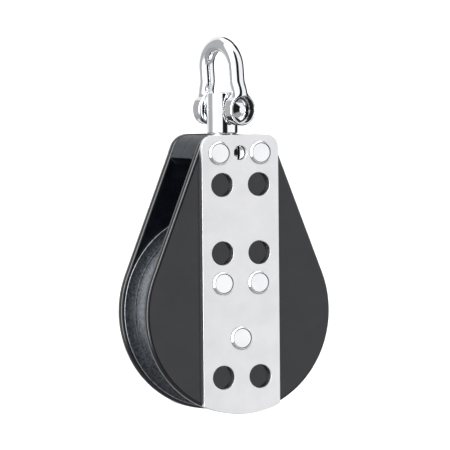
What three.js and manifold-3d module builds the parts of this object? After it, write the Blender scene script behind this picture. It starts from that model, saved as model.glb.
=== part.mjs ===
// Single swivel-shackle sheave block, modelled in millimetres with +Z up.
// The origin is on the shackle pin's axis, at the head post's centre line.
// X runs across the side plates and Y runs along the sheave's axle.
import * as THREE from 'three';
import { mergeVertices } from 'three/addons/utils/BufferGeometryUtils.js';
import Module from 'manifold-3d';

const wasm = await Module();
wasm.setup();

// ---- Driving dimensions: sheave and its bearing ----------------------------
const SHEAVE_RADIUS = 38;
const SHEAVE_WIDTH = 19.8;
const FLANGE_TIP = 0.66; // thickness of each flange at its tip
const GROOVE_DEPTH = 8.2;
const SHEAVE_WALL = 2.5; // between the groove's bottom and the bore
const RIM_BAND = 3.6; // radial width of the full-width rim on each cheek
const OUTER_RACE_WALL = 1.5;
const BALL_DIAMETER = 5;
const BALLS_PER_ROW = 14;
const CAGE_WALL = 2.4;
const CAGE_RIM = 0.8; // material beside each ball pocket
const THRUST_RING_INSET = 1.2; // from the outer race and from the cheek's step

// ---- Driving dimensions: side plates and straps ----------------------------
const PLATE_MARGIN = 1; // the plates stand this much outside the sheave
const PLATE_THICKNESS = 3.5;
const PLATE_EDGE_ROUND = 0.9;
const PLATE_CORNER_RADIUS = 7;
const HEAD_TOP = 68.6; // top edge above the axle
const TOP_HALF_WIDTH = 14.46; // where the plates' flanks meet the top edge
const STRAP_WIDTH = 32.4;
const STRAP_THICKNESS = 2;
const STRAP_CORNER_RADIUS = 5;
const REAR_STRAP_INSET = 1.05; // the rear strap's corners, inside the plates' outline
const STRAP_HOLE_RADIUS = 4.6;
const STRAP_HOLE_SPACING = 15.54;
const HOLES_ABOVE_HUB_RIVETS = 11.65;
const HOLES_BELOW_HUB_RIVETS = 15;
const HOLES_BELOW_HEAD_RIVETS = 12.2;

// ---- Driving dimensions: rivets --------------------------------------------
const RIVET_RADIUS = 2.9;
const RIVET_HEAD_RADIUS = 4.55;
const RIVET_HEAD_HEIGHT = 0.75;
const RIVET_HEAD_CHAMFER = 0.5;
const HUB_RIVET_INSET = 6.54; // upper hub rivets, in from the inner race
const HUB_RIVET_ANGLE = 56.95; // upper hub rivets, above the X axis
const LOWER_RIVET_INSET = 10.7; // lower hub rivet, in from the inner race
const HEAD_RIVET_DROP = 6.9; // below the top edge

// ---- Driving dimensions: head and head post --------------------------------
const HEAD_HEIGHT = 9.1; // depth of the head at the flanks
const HEAD_INSET = 0.4; // the head stands this much inside the plates' outline
const APRON_DROP = 2.6;
const APRON_TAPER = 2.2;
const APRON_THICKNESS = 1.3;
const BOSS_HALF_WIDTH = 9.5;
const POST_RADIUS = 5.95;
const POST_SHOULDER = 1.25; // step from the post's head to its shank
const POST_CHAMFER = 0.5;
const POST_ABOVE_PIN = 6.5;
const POST_FLANGE_RADIUS = 7.75;
const POST_FLANGE_THICKNESS = 2.6;
const THRUST_WASHER_THICKNESS = 1.2;
const BUSH_WALL = 1.2;
const BUSH_HEIGHT = 2.8;
const SHANK_TO_RIVET_WALL = 0.6;
const LOCK_SCREW_RADIUS = 2.6;
const LOCK_SCREW_RECESS = 0.7; // below the front plate's face
const LOCK_GROOVE_DEPTH = 0.9;
const SCREW_SLOT_WIDTH = 0.9;
const SCREW_SLOT_DEPTH = 1.2;

// ---- Driving dimensions: shackle -------------------------------------------
const BAR_DIAMETER = 5.9;
const BOW_RADIUS = 9.1; // centre line of the crown
const CROWN_ABOVE_PIN = 22.3; // inside of the crown
const LEG_SPREAD_ABOVE_PIN = 11.5; // the bow's legs are parallel above this
const PIN_ABOVE_HEAD = 9.6;
const PIN_RADIUS = 3;
const EYE_DIAMETER = 12.3;
const EYE_THICKNESS = 4.9;
const EYE_PLAY = 1.4; // between the post and each eye when centred
const EYE_CUP_RADIUS = 5.3;
const EYE_CUP_DEPTH = 3.2;
const HEX_ACROSS_FLATS = 7.3;
const HEX_HEIGHT = 1;
const HEX_DIMPLE_RADIUS = 2.1;
const HEX_DIMPLE_DEPTH = 0.6;
const SHACKLE_TURN = 14; // degrees about Z
const SHACKLE_LEAN = 4; // degrees about the pin

// ---- Clearances --------------------------------------------------------------
const SEAT_GAP = 0.15; // pieces that are fastened face to face
const TURNED_GAP = 0.3; // pieces that meet inside the turned shackle
const RUNNING_GAP = 0.3; // pieces that turn against each other
const BALL_GAP = 0.15; // ball to race
const POCKET_GAP = 0.3; // ball to cage
const CHEEK_GAP = 0.6; // sheave to side plate
const RIVET_GAP = 0.2; // rivet shank in its holes

// ---- Facets ------------------------------------------------------------------
const LARGE_SEGMENTS = 48;
const MEDIUM_SEGMENTS = 24;
const SMALL_SEGMENTS = 16;
const POCKET_SEGMENTS = 8;

// ---- Sizes that follow ---------------------------------------------------------
const UPRIGHT = Math.PI / 2;
const plateRadius = SHEAVE_RADIUS + PLATE_MARGIN;
const plateInner = SHEAVE_WIDTH / 2 + CHEEK_GAP;
const plateOuter = plateInner + PLATE_THICKNESS;
const strapInner = plateOuter + SEAT_GAP;
const strapOuter = strapInner + STRAP_THICKNESS;
const strapHalfWidth = STRAP_WIDTH / 2;
const grooveBottom = SHEAVE_RADIUS - GROOVE_DEPTH;
const sheaveBore = grooveBottom - SHEAVE_WALL;
const outerRaceOuter = sheaveBore - SEAT_GAP;
const outerRaceInner = outerRaceOuter - OUTER_RACE_WALL;
const ballRadius = BALL_DIAMETER / 2;
const ballCircle = outerRaceInner - BALL_GAP - ballRadius;
const hubRadius = ballCircle - ballRadius - BALL_GAP;
const pocketRadius = ballRadius + POCKET_GAP;
const cageWidth = 2 * (pocketRadius + CAGE_RIM);
const rowOffset = cageWidth / 2 + RUNNING_GAP / 2;
const bearingHalfWidth = rowOffset + cageWidth / 2 + RUNNING_GAP;
const cheekStep = SHEAVE_RADIUS - RIM_BAND;
const axleHeight = -(HEAD_TOP + PIN_ABOVE_HEAD);
const rivetHeight = HEAD_TOP - HEAD_RIVET_DROP;
const rivetHole = RIVET_RADIUS + RIVET_GAP;
const shankRadius = POST_RADIUS - POST_SHOULDER;
const shankBore = shankRadius + RUNNING_GAP;
const bushBore = shankBore + BUSH_WALL;
const headRivetX = shankBore + SHANK_TO_RIVET_WALL + rivetHole;
const lowerBushTop = rivetHeight - rivetHole - RUNNING_GAP;
const lowerBushBottom = lowerBushTop - BUSH_HEIGHT;
const washerTop = lowerBushBottom - RUNNING_GAP;
const flangeTop = washerTop - THRUST_WASHER_THICKNESS - RUNNING_GAP;
const flangeBottom = flangeTop - POST_FLANGE_THICKNESS;
const bossBottom = flangeBottom - RUNNING_GAP;
const headBottom = HEAD_TOP - HEAD_HEIGHT;
const headDepth = plateInner - SEAT_GAP;
const lockTip = -(shankRadius + RUNNING_GAP);
const lockFace = -(plateOuter - LOCK_SCREW_RECESS);
const lockHole = LOCK_SCREW_RADIUS + RIVET_GAP;
const eyeInner = POST_RADIUS + EYE_PLAY;
const eyeOuter = eyeInner + EYE_THICKNESS;
const shackleShift = EYE_PLAY - RUNNING_GAP;
const hubUpperRivet = hubRadius - HUB_RIVET_INSET;
const hubRivetX = hubUpperRivet * Math.cos(radians(HUB_RIVET_ANGLE));
const hubRivetZ = hubUpperRivet * Math.sin(radians(HUB_RIVET_ANGLE));
const lowerRivetZ = LOWER_RIVET_INSET - hubRadius;

// Each rivet: its name and its place across the plates.
const RIVETS = [
  { name: 'head_rivet_left', x: -headRivetX, z: rivetHeight },
  { name: 'head_rivet_right', x: headRivetX, z: rivetHeight },
  { name: 'hub_rivet_left', x: -hubRivetX, z: hubRivetZ },
  { name: 'hub_rivet_right', x: hubRivetX, z: hubRivetZ },
  { name: 'hub_rivet_lower', x: 0, z: lowerRivetZ },
];
const HUB_RIVETS = RIVETS.filter((rivet) => rivet.name.startsWith('hub'));
const HEAD_RIVETS = RIVETS.filter((rivet) => rivet.name.startsWith('head'));
const STRAP_HOLE_ROWS = [
  rivetHeight - HOLES_BELOW_HEAD_RIVETS,
  hubRivetZ + HOLES_ABOVE_HUB_RIVETS,
  lowerRivetZ - HOLES_BELOW_HUB_RIVETS,
];

// ---- Materials -----------------------------------------------------------------
const finishes = {
  blackPlate: finish(0x414247, 0.45, 0.5),
  blackHead: finish(0x4a5058, 0.55, 0.2),
  blackSheave: finish(0x3a3d42, 0.6, 0.6),
  polishedSteel: finish(0xe6e7ea, 0.12, 1),
  satinSteel: finish(0xeeeef0, 0.3, 1),
  raceSteel: finish(0xb8bbc0, 0.25, 1),
  whiteAcetal: finish(0xf2f0e8, 0.4, 0),
  blackAcetal: finish(0x1c1d1f, 0.5, 0),
};

function finish(color, roughness, metalness) {
  return new THREE.MeshStandardMaterial({ color, roughness, metalness });
}

function radians(degrees) {
  return THREE.MathUtils.degToRad(degrees);
}

// ---- Solids: closed geometry to manifold and back ---------------------------------
function solid(geometry) {
  const bare = geometry.clone();
  bare.deleteAttribute('normal');
  bare.deleteAttribute('uv');
  const merged = mergeVertices(bare, 1e-4);
  const corners = merged.index.array;
  const triangles = [];
  for (let i = 0; i < corners.length; i += 3) {
    const [a, b, c] = [corners[i], corners[i + 1], corners[i + 2]];
    if (a !== b && b !== c && c !== a) {
      triangles.push(a, b, c);
    }
  }
  const vertProperties = new Float32Array(merged.attributes.position.array);
  const triVerts = Uint32Array.from(triangles);
  return new wasm.Manifold(new wasm.Mesh({ numProp: 3, vertProperties, triVerts }));
}

function piece(name, body, material) {
  const { vertProperties, triVerts } = body.getMesh();
  const geometry = new THREE.BufferGeometry();
  geometry.setAttribute('position', new THREE.BufferAttribute(vertProperties, 3));
  geometry.setIndex(new THREE.BufferAttribute(triVerts, 1));
  geometry.computeVertexNormals();
  const mesh = new THREE.Mesh(geometry, material);
  mesh.name = name;
  return mesh;
}

function subtractAll(body, cutters) {
  return cutters.reduce((left, cutter) => left.subtract(cutter), body);
}

// Points on an arc, from one angle to the other, ends included.
function arc(centreX, centreZ, radius, from, to, steps) {
  return Array.from({ length: steps + 1 }, (_, i) => {
    const angle = from + ((to - from) * i) / steps;
    return new THREE.Vector2(centreX + radius * Math.cos(angle), centreZ + radius * Math.sin(angle));
  });
}

// An outline in the XZ plane, extruded along Y from one depth to the other.
function slab(outline, from, to, edgeRound = 0) {
  const geometry = new THREE.ExtrudeGeometry(new THREE.Shape(outline), {
    depth: to - from - 2 * edgeRound,
    bevelEnabled: edgeRound > 0,
    bevelThickness: edgeRound,
    bevelSize: edgeRound,
    bevelOffset: -edgeRound,
    bevelSegments: 2,
  });
  geometry.rotateX(UPRIGHT);
  geometry.translate(0, to - edgeRound, 0);
  return solid(geometry);
}

// A cylinder along Y at a place across the plates.
function rod(x, z, radius, from, to, segments = SMALL_SEGMENTS) {
  const geometry = new THREE.CylinderGeometry(radius, radius, to - from, segments);
  geometry.translate(x, (from + to) / 2, z);
  return solid(geometry);
}

// A cylinder along Z on the post's axis.
function column(radius, from, to) {
  const geometry = new THREE.CylinderGeometry(radius, radius, to - from, MEDIUM_SEGMENTS);
  geometry.rotateX(UPRIGHT);
  geometry.translate(0, 0, (from + to) / 2);
  return solid(geometry);
}

// A profile of [radius, height] points turned round the Y axis, anticlockwise.
function turned(profile, segments) {
  const points = profile.map(([radius, height]) => new THREE.Vector2(radius, height));
  return solid(new THREE.LatheGeometry(points, segments));
}

// A plain ring round the Y axis.
function ring(inner, outer, from, to, segments = LARGE_SEGMENTS) {
  const profile = [[inner, from], [outer, from], [outer, to], [inner, to], [inner, from]];
  return turned(profile, segments);
}

// ---- Side plates and straps ---------------------------------------------------------
// The flanks' lean from upright, where they are tangent to the round end.
function flankAngle() {
  const reach = Math.hypot(TOP_HALF_WIDTH, HEAD_TOP);
  return Math.atan2(HEAD_TOP, TOP_HALF_WIDTH) - Math.acos(plateRadius / reach);
}

// Half the width between the flanks at a height.
function flankHalfWidth(height, inset = 0) {
  const angle = flankAngle();
  return (plateRadius - inset - height * Math.sin(angle)) / Math.cos(angle);
}

// The rounded shoulder between flank and top edge, from the right-hand side up.
function shoulder(inset) {
  const angle = flankAngle();
  const radius = PLATE_CORNER_RADIUS - inset;
  const centreZ = HEAD_TOP - PLATE_CORNER_RADIUS;
  const centreX = flankHalfWidth(centreZ, PLATE_CORNER_RADIUS);
  return arc(centreX, centreZ, radius, angle, UPRIGHT, 6);
}

function mirrored(points) {
  return points.map((point) => new THREE.Vector2(-point.x, point.y)).reverse();
}

function sidePlate(name, holes) {
  const angle = flankAngle();
  const roundEnd = arc(0, 0, plateRadius, Math.PI - angle, 2 * Math.PI + angle, 40);
  const outline = [...roundEnd, ...shoulder(0), ...mirrored(shoulder(0))];
  const plate = slab(outline, plateInner, plateOuter, PLATE_EDGE_ROUND);
  const cutters = holes.map(({ x, z, radius }) => rod(x, z, radius, plateInner - 1, plateOuter + 1));
  return piece(name, subtractAll(plate, cutters), finishes.blackPlate);
}

// The front strap's top corners stand outside the plates' shoulders.
function squareCorner() {
  const cornerX = strapHalfWidth - STRAP_CORNER_RADIUS;
  const cornerZ = HEAD_TOP - STRAP_CORNER_RADIUS;
  return arc(cornerX, cornerZ, STRAP_CORNER_RADIUS, 0, UPRIGHT, 6);
}

// The rear strap's follow the plates' flanks and shoulders.
function trimmedCorner() {
  const angle = flankAngle();
  const room = plateRadius - REAR_STRAP_INSET - strapHalfWidth * Math.cos(angle);
  const trimHeight = room / Math.sin(angle);
  return [new THREE.Vector2(strapHalfWidth, trimHeight), ...shoulder(REAR_STRAP_INSET)];
}

function strap(name, corner) {
  const endAngle = Math.acos(strapHalfWidth / plateRadius);
  const lowerEnd = arc(0, 0, plateRadius, Math.PI + endAngle, 2 * Math.PI - endAngle, 10);
  const blank = slab([...lowerEnd, ...corner, ...mirrored(corner)], strapInner, strapOuter);
  const cut = (x, z, radius) => rod(x, z, radius, strapInner - 1, strapOuter + 1);
  const lighteningHoles = STRAP_HOLE_ROWS.flatMap((z) => [
    cut(-STRAP_HOLE_SPACING / 2, z, STRAP_HOLE_RADIUS),
    cut(STRAP_HOLE_SPACING / 2, z, STRAP_HOLE_RADIUS),
  ]);
  const rivetHoles = RIVETS.map(({ x, z }) => cut(x, z, rivetHole));
  const screwHole = cut(0, rivetHeight, lockHole);
  const body = subtractAll(blank, [...lighteningHoles, ...rivetHoles, screwHole]);
  return piece(name, body, finishes.satinSteel);
}

function rivet({ name, x, z }) {
  const seat = strapOuter + SEAT_GAP;
  const top = seat + RIVET_HEAD_HEIGHT;
  const shoulderTop = top - RIVET_HEAD_CHAMFER;
  const faceRadius = RIVET_HEAD_RADIUS - RIVET_HEAD_CHAMFER;
  const upperHalf = [
    [RIVET_RADIUS, seat],
    [RIVET_HEAD_RADIUS, seat],
    [RIVET_HEAD_RADIUS, shoulderTop],
    [faceRadius, top],
    [0, top],
  ];
  const lowerHalf = upperHalf.map(([radius, height]) => [radius, -height]).reverse();
  const mesh = piece(name, turned([...lowerHalf, ...upperHalf], SMALL_SEGMENTS), finishes.polishedSteel);
  mesh.position.set(x, 0, z);
  return mesh;
}

// ---- Head: two halves that close round the head post ----------------------------------
function headHalf(name, extraCutters) {
  const sideX = flankHalfWidth(headBottom, HEAD_INSET);
  const crown = shoulder(HEAD_INSET);
  const outline = [new THREE.Vector2(-sideX, headBottom), new THREE.Vector2(sideX, headBottom)];
  const block = slab([...outline, ...crown, ...mirrored(crown)], SEAT_GAP, headDepth);
  const apronX = sideX - APRON_TAPER;
  const apronOutline = [
    new THREE.Vector2(-apronX, headBottom - APRON_DROP),
    new THREE.Vector2(apronX, headBottom - APRON_DROP),
    new THREE.Vector2(sideX, headBottom),
    new THREE.Vector2(sideX, headBottom + 1),
    new THREE.Vector2(-sideX, headBottom + 1),
    new THREE.Vector2(-sideX, headBottom),
  ];
  const apron = slab(apronOutline, headDepth - APRON_THICKNESS, headDepth);
  const bossOutline = [
    new THREE.Vector2(-BOSS_HALF_WIDTH, bossBottom),
    new THREE.Vector2(BOSS_HALF_WIDTH, bossBottom),
    new THREE.Vector2(BOSS_HALF_WIDTH, headBottom + 1),
    new THREE.Vector2(-BOSS_HALF_WIDTH, headBottom + 1),
  ];
  const boss = slab(bossOutline, SEAT_GAP, headDepth);
  const cutters = [
    column(shankBore, bossBottom - 1, HEAD_TOP + 1),
    column(bushBore, HEAD_TOP - HEAD_INSET - BUSH_HEIGHT - SEAT_GAP, HEAD_TOP + 1),
    column(bushBore, washerTop - 1, lowerBushTop + SEAT_GAP),
    column(POST_FLANGE_RADIUS + RUNNING_GAP, bossBottom - 1, washerTop + SEAT_GAP),
    ...HEAD_RIVETS.map(({ x, z }) => rod(x, z, rivetHole, -1, headDepth + 1)),
    ...extraCutters,
  ];
  return piece(name, subtractAll(block.add(apron).add(boss), cutters), finishes.blackHead);
}

function bush(name, bottom) {
  const tube = ring(shankRadius + RUNNING_GAP / 2, bushBore - SEAT_GAP, 0, BUSH_HEIGHT, MEDIUM_SEGMENTS);
  const mesh = piece(name, tube, finishes.whiteAcetal);
  mesh.rotation.x = UPRIGHT;
  mesh.position.z = bottom;
  return mesh;
}

function lockScrew() {
  const tipLength = LOCK_SCREW_RADIUS / 2;
  const profile = [
    [0, lockFace],
    [LOCK_SCREW_RADIUS, lockFace],
    [LOCK_SCREW_RADIUS, lockTip - tipLength],
    [LOCK_SCREW_RADIUS - tipLength, lockTip],
    [0, lockTip],
  ];
  const slot = new THREE.BoxGeometry(SCREW_SLOT_WIDTH, 2 * SCREW_SLOT_DEPTH, 3 * LOCK_SCREW_RADIUS);
  slot.translate(0, lockFace, 0);
  const mesh = piece('lock_screw', turned(profile, SMALL_SEGMENTS).subtract(solid(slot)), finishes.satinSteel);
  mesh.position.z = rivetHeight;
  return mesh;
}

// ---- Head post ------------------------------------------------------------------------
function headPost() {
  const shoulderHeight = HEAD_TOP + RUNNING_GAP;
  const top = HEAD_TOP + PIN_ABOVE_HEAD + POST_ABOVE_PIN;
  const grooveRadius = shankRadius - LOCK_GROOVE_DEPTH;
  const grooveReach = LOCK_SCREW_RADIUS + RUNNING_GAP;
  const profile = [
    [0, flangeBottom],
    [POST_FLANGE_RADIUS, flangeBottom],
    [POST_FLANGE_RADIUS, flangeTop],
    [shankRadius, flangeTop],
    [shankRadius, rivetHeight - grooveReach],
    [grooveRadius, rivetHeight - grooveReach + LOCK_GROOVE_DEPTH],
    [grooveRadius, rivetHeight + grooveReach - LOCK_GROOVE_DEPTH],
    [shankRadius, rivetHeight + grooveReach],
    [shankRadius, shoulderHeight],
    [POST_RADIUS - POST_CHAMFER, shoulderHeight],
    [POST_RADIUS, shoulderHeight + POST_CHAMFER],
    [POST_RADIUS, top - POST_CHAMFER],
    [POST_RADIUS - POST_CHAMFER, top],
    [0, top],
  ];
  const holeRadius = PIN_RADIUS + RUNNING_GAP;
  const pinHole = new THREE.CylinderGeometry(holeRadius, holeRadius, 4 * POST_RADIUS, SMALL_SEGMENTS);
  pinHole.rotateX(UPRIGHT);
  pinHole.translate(0, HEAD_TOP + PIN_ABOVE_HEAD, 0);
  const body = turned(profile, MEDIUM_SEGMENTS).subtract(solid(pinHole));
  const mesh = piece('headpost', body, finishes.polishedSteel);
  mesh.rotation.x = UPRIGHT;
  return mesh;
}

function thrustWasher() {
  const outer = POST_FLANGE_RADIUS;
  const disc = ring(shankRadius + RUNNING_GAP / 2, outer, 0, THRUST_WASHER_THICKNESS, MEDIUM_SEGMENTS);
  const mesh = piece('headpost_thrust_washer', disc, finishes.whiteAcetal);
  mesh.rotation.x = UPRIGHT;
  mesh.position.z = flangeTop + RUNNING_GAP / 2;
  return mesh;
}

// ---- Shackle, in its own frame: origin on the pin's axis, pin along Y --------------------
// The near eye, at -Y, holds the pin's hexagon in a cup.
function bowPath() {
  const legCentre = eyeInner + BAR_DIAMETER / 2;
  const legEnd = POST_ABOVE_PIN - RUNNING_GAP;
  const crownHeight = CROWN_ABOVE_PIN + BAR_DIAMETER / 2;
  const archHeight = crownHeight - BOW_RADIUS;
  const pull = (LEG_SPREAD_ABOVE_PIN - legEnd) / 2;
  const point = (side, y, z) => new THREE.Vector3(0, side * y, z);
  const foot = PIN_RADIUS + TURNED_GAP;
  const path = new THREE.CurvePath();
  path.add(new THREE.LineCurve3(point(-1, legCentre, foot), point(-1, legCentre, legEnd)));
  path.add(new THREE.CubicBezierCurve3(
    point(-1, legCentre, legEnd),
    point(-1, legCentre, legEnd + pull),
    point(-1, BOW_RADIUS, LEG_SPREAD_ABOVE_PIN - pull),
    point(-1, BOW_RADIUS, LEG_SPREAD_ABOVE_PIN),
  ));
  path.add(new THREE.LineCurve3(
    point(-1, BOW_RADIUS, LEG_SPREAD_ABOVE_PIN),
    point(-1, BOW_RADIUS, archHeight),
  ));
  path.add(new CrownArch(BOW_RADIUS, archHeight));
  path.add(new THREE.LineCurve3(
    point(1, BOW_RADIUS, archHeight),
    point(1, BOW_RADIUS, LEG_SPREAD_ABOVE_PIN),
  ));
  path.add(new THREE.CubicBezierCurve3(
    point(1, BOW_RADIUS, LEG_SPREAD_ABOVE_PIN),
    point(1, BOW_RADIUS, LEG_SPREAD_ABOVE_PIN - pull),
    point(1, legCentre, legEnd + pull),
    point(1, legCentre, legEnd),
  ));
  path.add(new THREE.LineCurve3(point(1, legCentre, legEnd), point(1, legCentre, foot)));
  return path;
}

// A half circle in the YZ plane, from -Y over the top to +Y.
class CrownArch extends THREE.Curve {
  constructor(radius, height) {
    super();
    this.radius = radius;
    this.height = height;
  }

  getPoint(t, target = new THREE.Vector3()) {
    const angle = Math.PI * (1 - t);
    const y = this.radius * Math.cos(angle);
    const z = this.height + this.radius * Math.sin(angle);
    return target.set(0, y, z);
  }
}

function shackleBow() {
  const section = new THREE.Shape(arc(0, 0, BAR_DIAMETER / 2, 0, 2 * Math.PI, 12).slice(0, -1));
  const bar = solid(new THREE.ExtrudeGeometry(section, { steps: 36, extrudePath: bowPath() }));
  const eye = (from, to) => rod(0, 0, EYE_DIAMETER / 2, from, to, MEDIUM_SEGMENTS);
  const cutters = [
    rod(0, 0, PIN_RADIUS + TURNED_GAP, -2 * eyeOuter, 2 * eyeOuter),
    rod(0, 0, EYE_CUP_RADIUS, -2 * eyeOuter, EYE_CUP_DEPTH - eyeOuter, MEDIUM_SEGMENTS),
  ];
  const blank = bar.add(eye(-eyeOuter, -eyeInner)).add(eye(eyeInner, eyeOuter));
  return piece('shackle_bow', subtractAll(blank, cutters), finishes.polishedSteel);
}

function shacklePin() {
  const hexBase = EYE_CUP_DEPTH - eyeOuter - TURNED_GAP;
  const hexFace = hexBase - HEX_HEIGHT;
  const corner = HEX_ACROSS_FLATS / Math.sqrt(3);
  const shank = rod(0, 0, PIN_RADIUS, hexBase - HEX_HEIGHT / 2, eyeOuter);
  const hexagon = rod(0, 0, corner, hexFace, hexBase, 6);
  const dimple = rod(0, 0, HEX_DIMPLE_RADIUS, hexFace - 1, hexFace + HEX_DIMPLE_DEPTH);
  return piece('shackle_pin', shank.add(hexagon).subtract(dimple), finishes.polishedSteel);
}

// ---- Sheave, bearing and hub, turned round the axle -----------------------------------------
function sheave() {
  const half = SHEAVE_WIDTH / 2;
  const grooveHalf = half - FLANGE_TIP;
  const grooveRadius = (grooveHalf ** 2 + GROOVE_DEPTH ** 2) / (2 * GROOVE_DEPTH);
  const grooveCentre = grooveBottom + grooveRadius;
  const sweep = Math.atan2(grooveHalf, grooveCentre - SHEAVE_RADIUS);
  const groove = arc(grooveCentre, 0, grooveRadius, Math.PI + sweep, Math.PI - sweep, 10);
  const profile = [
    [sheaveBore, -bearingHalfWidth],
    [cheekStep, -bearingHalfWidth],
    [cheekStep, -half],
    [SHEAVE_RADIUS, -half],
    ...groove.map((point) => [point.x, point.y]),
    [SHEAVE_RADIUS, half],
    [cheekStep, half],
    [cheekStep, bearingHalfWidth],
    [sheaveBore, bearingHalfWidth],
    [sheaveBore, -bearingHalfWidth],
  ];
  return piece('sheave', turned(profile, LARGE_SEGMENTS), finishes.blackSheave);
}

function sheaveRace() {
  const body = ring(outerRaceInner, outerRaceOuter, -bearingHalfWidth, bearingHalfWidth);
  return piece('sheave_race', body, finishes.raceSteel);
}

function hub() {
  const body = rod(0, 0, hubRadius, -bearingHalfWidth, bearingHalfWidth, LARGE_SEGMENTS);
  const cutters = HUB_RIVETS.map(({ x, z }) => rod(x, z, rivetHole, -SHEAVE_WIDTH, SHEAVE_WIDTH));
  return piece('hub', subtractAll(body, cutters), finishes.raceSteel);
}

// The disc between hub and side plate, which keeps the balls in.
function hubCap(name) {
  const from = bearingHalfWidth + SEAT_GAP;
  const to = plateInner - SEAT_GAP;
  const body = rod(0, 0, ballCircle, from, to, LARGE_SEGMENTS);
  const cutters = HUB_RIVETS.map(({ x, z }) => rod(x, z, rivetHole, from - 1, to + 1));
  return piece(name, subtractAll(body, cutters), finishes.raceSteel);
}

// The plain ring on each side plate that the sheave's cheek rubs on.
function thrustRing(name) {
  const inner = sheaveBore + THRUST_RING_INSET;
  const outer = cheekStep - THRUST_RING_INSET;
  const body = ring(inner, outer, bearingHalfWidth + RUNNING_GAP, plateInner - SEAT_GAP);
  return piece(name, body, finishes.whiteAcetal);
}

function ballCage() {
  const half = cageWidth / 2;
  const inner = ballCircle - CAGE_WALL / 2;
  const body = ring(inner, inner + CAGE_WALL, -half, half, 2 * BALLS_PER_ROW);
  const cutters = ballAngles().map((angle) => {
    const pocket = new THREE.CylinderGeometry(pocketRadius, pocketRadius, 2 * CAGE_WALL, POCKET_SEGMENTS);
    pocket.rotateZ(UPRIGHT);
    pocket.translate(ballCircle, 0, 0);
    pocket.rotateY(-angle);
    return solid(pocket);
  });
  return subtractAll(body, cutters);
}

function ballAngles() {
  return Array.from({ length: BALLS_PER_ROW }, (_, i) => (2 * Math.PI * i) / BALLS_PER_ROW);
}

function ballRow(side, depth) {
  const row = new THREE.Group();
  row.position.y = depth;
  row.add(piece(`${side}_ball_cage`, ballCage(), finishes.blackAcetal));
  const ball = solid(new THREE.IcosahedronGeometry(ballRadius, 1));
  ballAngles().forEach((angle, i) => {
    const number = String(i + 1).padStart(2, '0');
    const mesh = piece(`${side}_ball_${number}`, ball, finishes.whiteAcetal);
    mesh.position.set(ballCircle * Math.cos(angle), 0, ballCircle * Math.sin(angle));
    row.add(mesh);
  });
  return row;
}

// ---- Assembly ----------------------------------------------------------------------------------
// Heights of the head post and the block count from the axle.
function shackleGroup() {
  const group = new THREE.Group();
  const shifted = new THREE.Group();
  shifted.add(shackleBow(), shacklePin());
  shifted.position.y = -shackleShift;
  group.add(shifted);
  group.rotation.set(0, radians(-SHACKLE_LEAN), radians(SHACKLE_TURN), 'ZYX');
  return group;
}

function postGroup() {
  const group = new THREE.Group();
  group.add(headPost(), thrustWasher());
  group.position.z = axleHeight;
  group.rotation.z = radians(SHACKLE_TURN);
  return group;
}

// What covers one side, made for the rear; the front's is turned round to face forward.
function sideGroup(side, corner, screwHoles) {
  const group = new THREE.Group();
  const rivetHoles = RIVETS.map(({ x, z }) => ({ x, z, radius: rivetHole }));
  const screwCutters = screwHoles.map(({ x, z, radius }) => rod(x, z, radius, 0, 2 * plateOuter));
  group.add(
    sidePlate(`${side}_side_plate`, [...rivetHoles, ...screwHoles]),
    strap(`${side}_strap`, corner),
    headHalf(`${side}_head_half`, screwCutters),
    hubCap(`${side}_hub_cap`),
    thrustRing(`${side}_thrust_ring`),
  );
  return group;
}

function blockGroup() {
  const group = new THREE.Group();
  const front = sideGroup('front', squareCorner(), [{ x: 0, z: rivetHeight, radius: lockHole }]);
  front.rotation.z = Math.PI;
  group.add(
    front,
    sideGroup('rear', trimmedCorner(), []),
    bush('upper_swivel_bush', HEAD_TOP - HEAD_INSET - BUSH_HEIGHT),
    bush('lower_swivel_bush', lowerBushBottom),
    hub(),
    lockScrew(),
    sheave(),
    sheaveRace(),
    ballRow('front', -rowOffset),
    ballRow('rear', rowOffset),
    ...RIVETS.map(rivet),
  );
  group.position.z = axleHeight;
  return group;
}

const sheaveBlock = new THREE.Group();
sheaveBlock.add(shackleGroup(), postGroup(), blockGroup());

export default sheaveBlock;
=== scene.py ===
"""Finished look of a single swivel-shackle sheave block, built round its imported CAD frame.

Sizes are in millimetres with +Z up. The origin is on the shackle pin's axis at the head post's
centre line, X runs across the side plates and Y runs along the sheave's axle. Meshes are turned
into metres as they are made.
"""

import logging
import math
from collections.abc import Callable, Sequence
from dataclasses import dataclass, field
from enum import Enum

import bmesh
import bpy
import numpy as np
from mathutils import Matrix, Vector


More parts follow.
